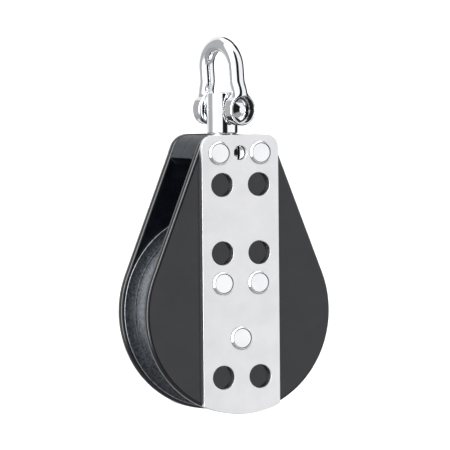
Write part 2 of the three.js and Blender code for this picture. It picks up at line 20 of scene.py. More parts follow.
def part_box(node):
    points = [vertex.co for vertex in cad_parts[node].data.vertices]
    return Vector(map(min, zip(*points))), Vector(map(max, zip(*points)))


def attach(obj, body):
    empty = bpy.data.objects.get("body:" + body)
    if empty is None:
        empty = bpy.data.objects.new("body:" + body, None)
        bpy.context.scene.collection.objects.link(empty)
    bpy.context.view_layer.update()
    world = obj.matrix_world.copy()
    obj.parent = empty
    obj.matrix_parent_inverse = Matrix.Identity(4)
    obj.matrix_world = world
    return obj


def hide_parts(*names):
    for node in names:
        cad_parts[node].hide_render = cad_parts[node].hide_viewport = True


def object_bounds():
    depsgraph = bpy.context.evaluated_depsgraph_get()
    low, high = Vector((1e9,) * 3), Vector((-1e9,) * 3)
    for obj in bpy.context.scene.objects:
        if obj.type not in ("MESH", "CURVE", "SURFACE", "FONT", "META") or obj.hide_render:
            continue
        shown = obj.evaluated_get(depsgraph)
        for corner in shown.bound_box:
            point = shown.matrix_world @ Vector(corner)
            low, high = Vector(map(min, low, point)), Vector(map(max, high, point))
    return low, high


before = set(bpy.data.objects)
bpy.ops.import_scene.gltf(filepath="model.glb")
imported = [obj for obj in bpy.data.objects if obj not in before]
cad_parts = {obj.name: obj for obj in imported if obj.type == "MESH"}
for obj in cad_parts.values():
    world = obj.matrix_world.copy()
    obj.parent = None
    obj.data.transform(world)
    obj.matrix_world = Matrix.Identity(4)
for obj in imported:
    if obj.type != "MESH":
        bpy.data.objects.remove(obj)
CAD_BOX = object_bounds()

log = logging.getLogger("sheave_block")

MM = 0.001
SMOOTH_ANGLE = math.radians(40)
WELD = 1e-3
# The most of a side that one corner's round takes up, so that two rounds never meet.
SIDE_SHARE = 0.49
# The radii of edges: one that another piece covers, a deburred one and a tumbled one.
CRISP, EASED, SOFT = 0.1, 0.2, 0.3
# How many stretches a hole's outline has, and how many steps a plate's rounded edge has.
HOLE_STEPS, EDGE_STEPS = 48, 3
# How far outside a region a face's middle may lie and still count as inside it.
TOUCH = 0.02
# The shackle's turn about the post, its lean about its pin and its shift along the pin.
SHACKLE_TURN, SHACKLE_LEAN, SHACKLE_SHIFT = 14.0, 4.0, 1.1

Point = tuple[float, float]
Outline = list[Point]
Distance = Callable[[np.ndarray], np.ndarray]


class Axis(Enum):
    """The axis that a turned piece is turned round."""

    ALONG_Y = "y"
    ALONG_Z = "z"


class Side(Enum):
    """The two sides of the block, and the way that each one's depths count from the middle."""

    FRONT = -1
    REAR = 1

    @property
    def word(self) -> str:
        """The side's name in lower case."""
        return self.name.lower()


class Join(Enum):
    """How a mesh is combined with another, in the boolean modifier's words."""

    CUT = "DIFFERENCE"
    ADD = "UNION"
    KEEP_SHARED = "INTERSECT"


# ---- Outlines --------------------------------------------------------------------------------


def arc(centre: Point, radius: float, start: float, end: float, steps: int) -> Outline:
    """Points on an arc, both ends included.

    Args:
        centre: The arc's centre.
        radius: The arc's radius.
        start: The first point's angle in radians.
        end: The last point's angle in radians.
        steps: How many stretches the arc has.

    Returns:
        The points in order.
    """
    angles = [start + (end - start) * i / steps for i in range(steps + 1)]
    return [(centre[0] + radius * math.cos(a), centre[1] + radius * math.sin(a)) for a in angles]


def rounded(corners: Sequence[tuple[float, float, float]], steps: int = 5) -> Outline:
    """A closed polygon with each of its corners rounded.

    Args:
        corners: Each corner's two coordinates and its radius, 0 for a sharp one.
        steps: How many stretches each round has.

    Returns:
        The outline's points in order.
    """
    outline: Outline = []
    count = len(corners)
    for i, (x, y, radius) in enumerate(corners):
        here = Vector((x, y))
        back = Vector(corners[i - 1][:2]) - here
        ahead = Vector(corners[(i + 1) % count][:2]) - here
        if radius <= 0:
            outline.append((x, y))
            continue
        half = back.angle(ahead) / 2
        reach = min(radius / math.tan(half), SIDE_SHARE * back.length, SIDE_SHARE * ahead.length)
        first = here + back.normalized() * reach
        last = here + ahead.normalized() * reach
        for step in range(steps + 1):
            t = step / steps
            # A quadratic curve with its weight set so that it is a true arc.
            weight = math.sin(half)
            share = (1 - t) ** 2 + 2 * weight * t * (1 - t) + t**2
            point = (1 - t) ** 2 * first + 2 * weight * t * (1 - t) * here + t**2 * last
            outline.append(tuple(point / share))
    return outline


def round_hole(centre: Point, radius: float, steps: int = HOLE_STEPS) -> Outline:
    """A round hole's closed outline."""
    return arc(centre, radius, 0, 2 * math.pi, steps)[:-1]


def block_of(inner: float, outer: float, low: float, high: float) -> Outline:
    """A plain rectangle's corners."""
    return [(inner, low), (outer, low), (outer, high), (inner, high)]


def eased_block(inner: float, outer: float, low: float, high: float, *radii: float) -> Outline:
    """A rectangle with rounded corners, such as a ring's section.

    Args:
        inner: The lower first coordinate.
        outer: The higher first coordinate.
        low: The lower second coordinate.
        high: The higher second coordinate.
        radii: The corners' radii in the order inner low, outer low, outer high, inner high, or
            one radius for all four.

    Returns:
        The outline.
    """
    each = radii if len(radii) > 1 else radii * 4
    corners = zip(block_of(inner, outer, low, high), each)
    return rounded([(*corner, radius) for corner, radius in corners])


def mirrored(outline: Outline) -> Outline:
    """The outline on the other side of the middle line, in the order that carries it on."""
    return [(-x, y) for x, y in reversed(outline)]


# ---- Meshes ----------------------------------------------------------------------------------


def linked(name: str, data: bpy.types.ID) -> bpy.types.Object:
    """A new object in the scene, showing the data."""
    made = bpy.data.objects.new(name, data)
    bpy.context.scene.collection.objects.link(made)
    return made


def cleaned(mesh: bpy.types.Mesh, weld: bool = True) -> bpy.types.Mesh:
    """The mesh itself, with its normals outward, and its doubles welded if asked."""
    work = bmesh.new()
    work.from_mesh(mesh)
    if weld:
        bmesh.ops.remove_doubles(work, verts=work.verts, dist=WELD)
    bmesh.ops.recalc_face_normals(work, faces=work.faces)
    work.to_mesh(mesh)
    work.free()
    return mesh


def frozen(shape: bpy.types.Object, tools: Sequence[bpy.types.Object] = ()) -> bpy.types.Mesh:
    """What an object comes to as a plain mesh.

    Args:
        shape: The object, which is removed afterwards.
        tools: The objects that its modifiers use, which are removed too.

    Returns:
        The mesh, with no materials.
    """
    bpy.context.view_layer.update()
    evaluated = shape.evaluated_get(bpy.context.evaluated_depsgraph_get())
    mesh = bpy.data.meshes.new_from_object(evaluated)
    for used in (shape, *tools):
        bpy.data.objects.remove(used)
    mesh.materials.clear()
    return mesh


def turned(profile: Outline, axis: Axis = Axis.ALONG_Y, segments: int = 128) -> bpy.types.Mesh:
    """A profile of (radius, place along the axis) turned right round.

    Args:
        profile: The points in order. It closes on itself unless both ends are on the axis.
        axis: The axis to turn it round.
        segments: How many facets there are round the axis.

    Returns:
        The mesh, in millimetres.
    """
    open_ended = profile[0][0] < WELD and profile[-1][0] < WELD
    count = len(profile)
    angles = np.arange(segments) * 2 * math.pi / segments
    radius = np.array([p[0] for p in profile])[:, None]
    along = np.repeat(np.array([p[1] for p in profile])[:, None], segments, axis=1)
    first, second = radius * np.cos(angles), radius * np.sin(angles)
    order = (first, along, second) if axis is Axis.ALONG_Y else (first, second, along)
    vertices = np.stack(order, axis=-1).reshape(-1, 3)
    faces = []
    for i in range(count - 1 if open_ended else count):
        j = (i + 1) % count
        for k in range(segments):
            m = (k + 1) % segments
            faces.append((i * segments + k, i * segments + m, j * segments + m, j * segments + k))
    mesh = bpy.data.meshes.new("blank")
    mesh.from_pydata([tuple(v) for v in vertices], [], faces)
    return cleaned(mesh)


def extruded(
    outline: Outline, depth_from: float, depth_to: float, edge: float, holes: Sequence[Outline] = ()
) -> bpy.types.Mesh:
    """An XZ outline with holes, made solid along Y with rounded edges.

    Args:
        outline: The outer outline.
        depth_from: The lower Y.
        depth_to: The upper Y.
        edge: The radius on its edges.
        holes: The outlines cut through it.

    Returns:
        The mesh, in millimetres.
    """
    curve = bpy.data.curves.new("blank", "CURVE")
    curve.dimensions = "2D"
    curve.fill_mode = "BOTH"
    curve.extrude = (depth_to - depth_from) / 2 - edge
    curve.bevel_depth = edge
    curve.bevel_resolution = EDGE_STEPS
    curve.offset = -edge
    for loop in (outline, *holes):
        spline = curve.splines.new("POLY")
        spline.points.add(len(loop) - 1)
        spline.points.foreach_set("co", [c for x, z in loop for c in (x, z, 0, 1)])
        spline.use_cyclic_u = True
    filled = frozen(linked("blank", curve))
    upright = Matrix.Rotation(math.pi / 2, 4, "X")
    filled.transform(Matrix.Translation((0, (depth_from + depth_to) / 2, 0)) @ upright)
    return cleaned(filled)


def combined(
    blank: bpy.types.Mesh, others: Sequence[bpy.types.Mesh], how: Join = Join.CUT
) -> bpy.types.Mesh:
    """A mesh with others cut from it, joined to it or shared with it.

    Args:
        blank: The mesh to start from.
        others: The other meshes.
        how: How each is combined.

    Returns:
        The new mesh.
    """
    base = linked("blank", blank)
    tools = [linked("tool", other) for other in others]
    for tool in tools:
        modifier = base.modifiers.new("join", "BOOLEAN")
        modifier.operation = how.value
        modifier.solver = "EXACT"
        modifier.object = tool
    return frozen(base, tools)


def moved(mesh: bpy.types.Mesh, x: float = 0, y: float = 0, z: float = 0) -> bpy.types.Mesh:
    """The mesh itself, after a shift."""
    mesh.transform(Matrix.Translation((x, y, z)))
    return mesh


def facing(mesh: bpy.types.Mesh, side: Side) -> bpy.types.Mesh:
    """The mesh of a piece made for the rear, turned round the Z axis where it is for the front."""
    if side is Side.FRONT:
        mesh.transform(Matrix.Rotation(math.pi, 4, "Z"))
    return mesh


def rod(x: float, z: float, radius: float, start: float, end: float) -> bpy.types.Mesh:
    """A plain cylinder along Y, to cut holes with."""
    return moved(turned(block_of(0.0, radius, start, end), segments=64), x=x, z=z)


def column(radius: float, bottom: float, top: float) -> bpy.types.Mesh:
    """A plain cylinder on the Z axis, to cut bores with."""
    return turned(block_of(0.0, radius, bottom, top), Axis.ALONG_Z, 96)


def smooth_union(a: np.ndarray, b: np.ndarray, blend: float) -> np.ndarray:
    """The distance to two shapes joined with a fillet about as wide as blend."""
    h = np.maximum(blend - np.abs(a - b), 0) / blend
    return np.minimum(a, b) - h * h * blend / 4


def smooth_cut(shape: np.ndarray, cutter: np.ndarray, blend: float) -> np.ndarray:
    """The distance to a shape less a cutter, with the new edge softened by blend."""
    return -smooth_union(-shape, cutter, blend)


def skin(
    distance: Distance, low: Sequence[float], high: Sequence[float], cell: float
) -> tuple[bpy.types.Mesh, np.ndarray]:
    """The surface on which a distance function is zero.

    Args:
        distance: Gives the signed distance at each of a list of points, negative inside.
        low: The lowest corner of the space that holds the shape.
        high: The highest corner.
        cell: The size of the mesh's faces.

    Returns:
        The mesh in millimetres, and its vertices' normals.
    """
    counts = np.ceil((np.array(high) - np.array(low)) / cell).astype(int) + 1
    lines = [low[i] + cell * np.arange(counts[i]) for i in range(3)]
    grid = np.stack(np.meshgrid(*lines, indexing="ij"), axis=-1)
    inside = distance(grid.reshape(-1, 3)).reshape(counts) < 0
    corners = sum(
        inside[i : counts[0] - 1 + i, j : counts[1] - 1 + j, k : counts[2] - 1 + k].astype(int)
        for i in (0, 1)
        for j in (0, 1)
        for k in (0, 1)
    )
    crossed = (corners > 0) & (corners < 8)
    index = np.full(crossed.shape, -1)
    index[crossed] = np.arange(crossed.sum())
    points = np.array(low) + cell * (np.argwhere(crossed) + 0.5)
    quads = []
    for axis in range(3):
        b, c = (axis + 1) % 3, (axis + 2) % 3
        ahead = np.roll(inside, -1, axis=axis)
        edge = inside != ahead
        edge[tuple(slice(-1, None) if i == axis else slice(None) for i in range(3))] = False
        at = np.argwhere(edge)
        at = at[(at[:, b] > 0) & (at[:, c] > 0)]
        step_b, step_c = np.eye(3, dtype=int)[b], np.eye(3, dtype=int)[c]
        around = (at, at - step_b, at - step_b - step_c, at - step_c)
        ring = [index[tuple(cell_at.T)] for cell_at in around]
        quads.append(np.stack(ring, axis=1))
    faces = np.concatenate(quads)
    links = np.concatenate([faces[:, [i, (i + 1) % 4]] for i in range(4)])
    valence = np.bincount(links.ravel(), minlength=len(points))[:, None]
    even_passes = 5
    for _ in range(even_passes):
        points = settle(distance, points)[0]
        total = np.zeros_like(points)
        np.add.at(total, links[:, 0], points[links[:, 1]])
        np.add.at(total, links[:, 1], points[links[:, 0]])
        points = (points + total / valence) / 2
    points, normals = settle(distance, settle(distance, points)[0])
    mesh = bpy.data.meshes.new("skin")
    mesh.from_pydata(points.tolist(), [], faces.tolist())
    return cleaned(mesh, weld=False), normals


def settle(distance: Distance, points: np.ndarray) -> tuple[np.ndarray, np.ndarray]:
    """Points moved straight onto the surface of a distance function.

    Args:
        distance: The signed distance function.
        points: Points near its surface.

    Returns:
        The points on the surface, and the outward directions there.
    """
    nudge, least_slope, longest_step, steps = 0.01, 0.2, 0.4, 3
    for _ in range(steps):
        slope = np.stack(
            [
                (distance(points + nudge * unit) - distance(points - nudge * unit)) / (2 * nudge)
                for unit in np.eye(3)
            ],
            axis=1,
        )
        length = np.maximum(np.linalg.norm(slope, axis=1), least_slope)[:, None]
        step = np.clip(distance(points), -longest_step, longest_step)[:, None]
        points = points - step * slope / length**2
    return points, slope / length


# ---- Finishes --------------------------------------------------------------------------------


def linear(colour: str) -> tuple[float, float, float, float]:
    """The linear RGBA values of an sRGB hex colour such as "#8090A0"."""
    parts = [int(colour[i : i + 2], 16) / 255 for i in (1, 3, 5)]
    values = [p / 12.92 if p <= 0.04045 else ((p + 0.055) / 1.055) ** 2.4 for p in parts]
    return (*values, 1.0)


def per_metre(size_in_mm: float) -> float:
    """The texture scale that gives features of a real size, for coordinates in metres."""
    return 1 / (size_in_mm * MM)


def add_node(
    tree: bpy.types.NodeTree, kind: str, inputs: dict | None = None, **settings: object
) -> bpy.types.Node:
    """A new node with its settings and links.

    Args:
        tree: The node tree.
        kind: The node's type name.
        inputs: For each input, by name or number, a number or the socket to link it to.
        settings: The node's own settings.

    Returns:
        The node.
    """
    node = tree.nodes.new(kind)
    for name, value in settings.items():
        setattr(node, name, value)
    for name, value in (inputs or {}).items():
        if isinstance(value, bpy.types.NodeSocket):
            tree.links.new(value, node.inputs[name])
        else:
            node.inputs[name].default_value = value
    return node


def noise(
    tree: bpy.types.NodeTree, vector: bpy.types.NodeSocket, scale: float, detail: float, rough: float
) -> bpy.types.NodeSocket:
    """A noise texture's value."""
    inputs = {"Vector": vector, "Scale": scale, "Detail": detail, "Roughness": rough}
    return add_node(tree, "ShaderNodeTexNoise", inputs).outputs["Fac"]


def ranged(
    tree: bpy.types.NodeTree,
    value: bpy.types.NodeSocket,
    start: float,
    end: float,
    low: float = 0.0,
    high: float = 1.0,
) -> bpy.types.NodeSocket:
    """A value carried from the stretch between start and end to that between low and high."""
    inputs = {"Value": value, "From Min": start, "From Max": end, "To Min": low, "To Max": high}
    return add_node(tree, "ShaderNodeMapRange", inputs).outputs["Result"]


def mixed(
    tree: bpy.types.NodeTree, factor: object, first: object, second: object, kind: str = "RGBA"
) -> bpy.types.NodeSocket:
    """Two colours or values mixed: the first where the factor is 0, the second where it is 1."""
    inputs = {"Factor": factor, "A": first, "B": second}
    return add_node(tree, "ShaderNodeMix", inputs, data_type=kind).outputs["Result"]


@dataclass(frozen=True)
class Finish:
    """A material with a made surface: its colours, gloss and grain. Most are real, but one paints shade
    into recesses and one paints a highlight on the sheave's flange tips.

    The grain is drawn in the piece's own place, in stretched cells where the tool that made
    the surface ran one way.
    """

    name: str
    word: str
    slot: str
    colour: str
    worn_colour: str
    roughness: float
    grain_mm: tuple[float, float, float]
    grain_depth_mm: float
    roughness_spread: float = 0.05
    metallic: float = 0.0
    specular: float = 0.5
    ior: float = 1.5
    mottle_mm: float = 9.0
    grit: float = 0.0

    def material(self) -> bpy.types.Material:
        """The node material, made once and then shared."""
        found = bpy.data.materials.get(self.name)
        if found:
            return found
        made = bpy.data.materials.new(self.name)
        made.use_nodes = True
        tree = made.node_tree
        tree.nodes.clear()
        place = add_node(tree, "ShaderNodeTexCoord").outputs["Object"]
        stretch = tuple(per_metre(size) for size in self.grain_mm)
        laid = add_node(tree, "ShaderNodeMapping", {"Vector": place, "Scale": stretch})
        grain = noise(tree, laid.outputs["Vector"], scale=1.0, detail=4.0, rough=0.6)
        mottle = noise(tree, place, scale=per_metre(self.mottle_mm), detail=3.0, rough=0.55)
        wear = ranged(tree, mixed(tree, self.grit, mottle, grain, "FLOAT"), 0.35, 0.7)
        base = mixed(tree, wear, linear(self.colour), linear(self.worn_colour))
        smoothest, roughest = (self.roughness + self.roughness_spread * way for way in (-1, 1))
        gloss = ranged(tree, grain, 0.3, 0.7, smoothest, roughest)
        relief = add_node(
            tree,
            "ShaderNodeBump",
            {"Height": grain, "Distance": self.grain_depth_mm * MM, "Strength": 1.0},
        ).outputs["Normal"]
        shader = add_node(
            tree,
            "ShaderNodeBsdfPrincipled",
            {
                "Base Color": base,
                "Metallic": self.metallic,
                "Roughness": gloss,
                "IOR": self.ior,
                "Specular IOR Level": self.specular,
                "Normal": relief,
            },
        )
        add_node(tree, "ShaderNodeOutputMaterial", {"Surface": shader.outputs["BSDF"]})
        return made


# Stainless steel, cast and tumbled, then mirror polished: a bright clear reflection with only a
# trace of the polishing mop's haze.
POLISHED_STEEL = Finish(
    name="polished_stainless_steel",
    word="polished",
    slot="polished_steel",
    colour="#EDEEF0",
    worn_colour="#E2E4E8",
    metallic=1.0,
    roughness=0.07,
    roughness_spread=0.03,
    grain_mm=(1.6, 1.6, 1.6),
    grain_depth_mm=0.0012,
)

# Painted shade: the same steel darkened and dulled, put in recesses to stand for the shade that falls
# there, with its roughness drawn coarser than a cut's.
RECESS_SHADE_STEEL = Finish(
    name="painted_shade_recess_steel",
    word="polished",
    slot="polished_steel",
    colour="#3A3B3D",
    worn_colour="#4A4B4E",
    metallic=1.0,
    roughness=0.5,
    roughness_spread=0.08,
    grain_mm=(0.5, 0.5, 0.5),
    grain_depth_mm=0.01,
)

# Stainless sheet, pressed and satin polished along its length: bright with a soft, slightly
# streaked reflection. The streaks are drawn 0.3 mm wide, which is coarser than a belt leaves.
SATIN_STEEL = Finish(
    name="satin_brushed_stainless_sheet",
    word="satin",
    slot="strap_steel",
    colour="#F1F1F3",
    worn_colour="#E9EAED",
    metallic=1.0,
    roughness=0.33,
    roughness_spread=0.03,
    grain_mm=(0.3, 0.3, 9.0),
    grain_depth_mm=0.0006,
)

# Aluminium plate, hard anodised black and burnished: near black with a clear, even grey sheen and
# a faint grain, drawn coarser than the real one.
ANODISED_PLATE = Finish(
    name="hard_anodised_aluminium_plate",
    word="anodised",
    slot="plate_black",
    colour="#08090F",
    worn_colour="#101219",
    roughness=0.13,
    roughness_spread=0.03,
    grain_mm=(0.4, 0.4, 0.4),
    grain_depth_mm=0.004,
    specular=0.56,
)

# Glass-filled nylon, moulded: dark blue grey with a dull gloss and the mould's spark grain, drawn
# coarser than the real one.
MOULDED_NYLON = Finish(
    name="moulded_glass_filled_nylon",
    word="moulded",
    slot="head_black",
    colour="#14191E",
    worn_colour="#1A2026",
    roughness=0.42,
    roughness_spread=0.06,
    grain_mm=(0.55, 0.55, 0.55),
    grain_depth_mm=0.012,
    specular=0.25,
)

# Aluminium bar, turned and hard anodised: black, with a grainy groove that scatters grey light. The
# grit is drawn 0.8 mm across, coarser than the real one.
ANODISED_SHEAVE = Finish(
    name="hard_anodised_turned_aluminium",
    word="turned",
    slot="sheave_black",
    colour="#15181B",
    worn_colour="#4A4F55",
    metallic=0.5,
    roughness=0.38,
    roughness_spread=0.1,
    grain_mm=(0.8, 0.8, 0.8),
    grain_depth_mm=0.1,
    grit=0.85,
)

# Painted highlight: the same aluminium in a light grey on the flange tips, standing for the line of
# light they catch.
RIM_HIGHLIGHT = Finish(
    name="painted_highlight_aluminium_rim",
    word="turned",
    slot="sheave_black",
    colour="#6E7278",
    worn_colour="#A2A6AC",
    metallic=0.8,
    roughness=0.3,
    roughness_spread=0.08,
    grain_mm=(0.8, 0.8, 0.8),
    grain_depth_mm=0.02,
    grit=0.6,
)

# Bearing steel, ground: grey and glossy with a fine haze.
GROUND_STEEL = Finish(
    name="ground_bearing_steel",
    word="ground",
    slot="race_steel",
    colour="#BFC2C7",
    worn_colour="#B4B7BC",
    metallic=1.0,
    roughness=0.2,
    grain_mm=(0.3, 0.3, 0.3),
    grain_depth_mm=0.002,
)

# Natural acetal, moulded and tumbled: milky white with a waxy gloss.
WHITE_ACETAL = Finish(
    name="natural_moulded_acetal",
    word="acetal",
    slot="bearing_acetal",
    colour="#F1EFE7",
    worn_colour="#E9E7DE",
    roughness=0.32,
    grain_mm=(0.5, 0.5, 0.5),
    grain_depth_mm=0.003,
)

# Black acetal, moulded: near black with a waxy gloss.
BLACK_ACETAL = Finish(
    name="black_moulded_acetal",
    word="black",
    slot="cage_acetal",
    colour="#1B1C1E",
    worn_colour="#222326",
    roughness=0.4,
    grain_mm=(0.5, 0.5, 0.5),
    grain_depth_mm=0.005,
)


# ---- Sub-assemblies --------------------------------------------------------------------------


@dataclass
class SubAssembly:
    """Pieces that ride on one body, made in the sub-assembly's own frame."""

    body: str
    placed: Matrix
    pieces: dict[str, bpy.types.Object] = field(default_factory=dict, init=False)

    def add(
        self, node: str, mesh: bpy.types.Mesh, normals: np.ndarray | None = None, flat: bool = True
    ) -> None:
        """Makes a visible piece that stands for a CAD node.

        Args:
            node: The CAD node.
            mesh: The piece's mesh in millimetres, in the sub-assembly's frame.
            normals: The vertices' outward directions, where they are known.
            flat: Whether it has flat faces, which then shade flat up to their rounded edges.
        """
        mesh.transform(Matrix.Scale(MM, 4) @ self.placed)
        mesh.shade_smooth()
        if normals is None:
            mesh.set_sharp_from_angle(angle=SMOOTH_ANGLE)
        else:
            turn = np.array(self.placed.to_3x3())
            mesh.normals_split_custom_set_from_vertices((normals @ turn.T).tolist())
        piece = linked(node, mesh)
        if flat and normals is None:
            weigh = piece.modifiers.new("flat_faces", "WEIGHTED_NORMAL")
            weigh.keep_sharp = True
            weigh.weight = 75
        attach(piece, self.body)
        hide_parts(node)
        self.pieces[node] = piece

    def build(self) -> None:
        """Makes the pieces."""
        raise NotImplementedError

    def dress(self) -> None:
        """Gives the pieces their finishes."""
        raise NotImplementedError

    def finish_as(self, finish: Finish, *nodes: str) -> None:
        """Gives pieces a finish and their final names.

        Args:
            finish: The finish.
            nodes: The CAD nodes that the pieces stand for.
        """
        for node in nodes:
            piece = self.pieces[node]
            piece.data.materials.clear()
            piece.data.materials.append(finish.material())
            piece.name = f"{node}_{finish.word}"
            log.info("%s: %d faces, %s", piece.name, len(piece.data.polygons), finish.name)

    def part_as(self, finish: Finish, node: str, where: Callable[[Vector], bool]) -> None:
        """Gives some of a piece's faces a second finish.

        Args:
            finish: The finish.
            node: The CAD node that the piece stands for.
            where: Says of a face's middle, in millimetres in the sub-assembly's frame, whether it
                has the finish.
        """
        mesh = self.pieces[node].data
        mesh.materials.append(finish.material())
        home = self.placed.inverted() @ Matrix.Scale(1 / MM, 4)
        for face in mesh.polygons:
            face.material_index = int(where(home @ face.center))

    def make(self) -> None:
        """Builds the pieces and dresses them."""
        self.build()
        self.dress()


@dataclass
class Shackle(SubAssembly):
    """The bow, with an eye at each end, and the pin through both eyes."""

    bar_diameter: float = 5.9
    bow_radius: float = 9.1
    crown_inside: float = 22.3
    leg_parallel: float = 11.5
    leg_end: float = 6.2
    eye_inner: float = 7.35
    eye_thickness: float = 4.9
    eye_diameter: float = 12.3
    eye_round: float = 0.9
    cup_radius: float = 5.3
    cup_depth: float = 3.2
    # How far below the eyes' outer faces the cup's painted shade begins.
    shade_from: float = 2.1
    bore_radius: float = 3.3
    pin_radius: float = 3.0
    hexagon_across_flats: float = 7.3
    hexagon_height: float = 2.4
    hexagon_gap: float = 0.1
    hexagon_corner: float = 0.25
    flat_radius: float = 1.5
    flat_round: float = 0.6
    cone_angle: float = 30.0
    end_round: float = 0.4
    fillet: float = 1.4
    foot_blend: float = 1.6
    lip: float = 0.3
    cell: float = 0.22

    @property
    def eye_outer(self) -> float:
        """How far the eyes' outer faces are from the middle."""
        return self.eye_inner + self.eye_thickness

    def distance(self, points: np.ndarray) -> np.ndarray:
        """The signed distance to the bow's surface.

        Args:
            points: The points to measure from.

        Returns:
            One distance for each point, negative inside the steel.
        """
        x, y, z = points.T
        bar_radius = self.bar_diameter / 2
        crown = self.crown_inside + bar_radius - self.bow_radius
        leg_centre = self.eye_inner + bar_radius
        t = np.clip((self.leg_parallel - z) / (self.leg_parallel - self.leg_end), 0, 1)
        spread = leg_centre - self.bow_radius
        half = self.bow_radius + spread * t * t * (3 - 2 * t)
        slope = spread * 6 * t * (1 - t) / (self.leg_parallel - self.leg_end)
        leg = (np.abs(y) - half) / np.sqrt(1 + slope**2)
        arch = np.hypot(y, z - crown) - self.bow_radius
        bar = np.hypot(x, np.where(z > crown, arch, leg)) - bar_radius
        bar = smooth_cut(bar, z - self.bore_radius, self.foot_blend)
        from_axis = np.hypot(x, z)
        out = from_axis - self.eye_diameter / 2 + self.eye_round
        deep = np.abs(np.abs(y) - self.eye_inner - self.eye_thickness / 2)
        deep = deep - self.eye_thickness / 2 + self.eye_round
        corner = np.hypot(np.maximum(out, 0), np.maximum(deep, 0))
        eye = np.minimum(np.maximum(out, deep), 0) + corner - self.eye_round
        body = smooth_union(bar, eye, self.fillet)
        cup = np.maximum(from_axis - self.cup_radius, y + self.eye_outer - self.cup_depth)
        body = smooth_cut(body, cup, self.lip)
        return smooth_cut(body, from_axis - self.bore_radius, self.lip)

    def bow(self) -> tuple[bpy.types.Mesh, np.ndarray]:
        """The bow's mesh and its normals."""
        margin = 1.0
        beside = -self.eye_diameter / 2 - margin
        low = (beside, -self.eye_outer - 2 * margin, beside)
        high = (-low[0], -low[1], self.crown_inside + self.bar_diameter + margin)
        return skin(self.distance, low, high, self.cell)

    def pin(self) -> bpy.types.Mesh:
        """The pin's mesh: a plain shank, and a hexagon with a coned face."""
        base = self.cup_depth - self.eye_outer - self.hexagon_gap
        face = base - self.hexagon_height
        corner = self.hexagon_across_flats / math.sqrt(3)
        flats = [
            (corner * math.cos(a), corner * math.sin(a), self.hexagon_corner)
            for a in (math.radians(30 + 60 * i) for i in range(6))
        ]
        # The hexagon is made too long at both ends, and the coned shape trims its face.
        spare = 0.5
        hexagon = extruded(rounded(flats), face - spare, base + spare, 0.05)
        reach = corner + 2 * spare
        drop = (reach - self.flat_radius) * math.tan(math.radians(self.cone_angle))
        coned = [
            (0.0, face, 0),
            (self.flat_radius, face, self.flat_round),
            (reach, face + drop, 0),
            (reach, base + 2 * spare, 0),
            (0.0, base + 2 * spare, 0),
        ]
        hexagon = combined(hexagon, [turned(rounded(coned), segments=96)], Join.KEEP_SHARED)
        end, bend = self.eye_outer, self.end_round
        tip = arc((self.pin_radius - bend, end - bend), bend, 0, math.pi / 2, 4)
        shank = turned([(0.0, base), (self.pin_radius, base), *tip, (0.0, end)], segments=96)
        return combined(hexagon, [shank], Join.ADD)

    def build(self) -> None:
        """Makes the bow and the pin."""
        mesh, normals = self.bow()
        self.add("shackle_bow", mesh, normals)
        self.add("shackle_pin", self.pin())

    def dress(self) -> None:
        """Polishes both, and paints shade on the bottom of the cup in dark, dull steel."""
        self.finish_as(POLISHED_STEEL, "shackle_bow", "shackle_pin")
        sunk, reach = self.shade_from - self.eye_outer, self.cup_radius - self.lip
        self.part_as(
            RECESS_SHADE_STEEL, "shackle_bow", lambda at: math.hypot(at.x, at.z) < reach and sunk < at.y < 0
        )


@dataclass
class HeadPost(SubAssembly):
    """The turned post that the shackle hangs on, with its thrust washer."""

    head_radius: float = 5.95
    shank_radius: float = 4.7
    groove_radius: float = 3.8
    groove_half: float = 2.9
    flange_radius: float = 7.75
    flange_bottom: float = 51.1
    flange_top: float = 53.7
    washer_thickness: float = 1.2
    lock_height: float = 61.7
    shoulder: float = 68.9
    top: float = 84.7
    pin_height: float = 78.2
    pin_hole: float = 3.3
    edge: float = 0.45
    gap: float = 0.15

    def build(self) -> None:
        """Makes the post and the washer."""
        depth = self.shank_radius - self.groove_radius
        corners = [
            (0.0, self.flange_bottom, 0),
            (self.flange_radius, self.flange_bottom, self.edge),
            (self.flange_radius, self.flange_top, EASED),
            (self.shank_radius, self.flange_top, EASED),
            (self.shank_radius, self.lock_height - self.groove_half, CRISP),
            (self.groove_radius, self.lock_height - self.groove_half + depth, SOFT),
            (self.groove_radius, self.lock_height + self.groove_half - depth, SOFT),
            (self.shank_radius, self.lock_height + self.groove_half, CRISP),
            (self.shank_radius, self.shoulder, 0),
            (self.head_radius, self.shoulder, self.edge),
            (self.head_radius, self.top, self.edge),
            (0.0, self.top, 0),
        ]
        post = turned(rounded(corners), Axis.ALONG_Z, 160)
        hole = rod(0, self.pin_height, self.pin_hole, -3 * self.head_radius, 3 * self.head_radius)
        self.add("headpost", combined(post, [hole]))
        bottom = self.flange_top + self.gap
        section = eased_block(
            self.shank_radius + self.gap,
            self.flange_radius,
            bottom,
            bottom + self.washer_thickness,
            *(CRISP, EASED, EASED, CRISP),
        )
        self.add("headpost_thrust_washer", turned(section, Axis.ALONG_Z))

    def dress(self) -> None:
        """Polishes the post and leaves the washer as moulded."""
        self.finish_as(POLISHED_STEEL, "headpost")
        self.finish_as(WHITE_ACETAL, "headpost_thrust_washer")


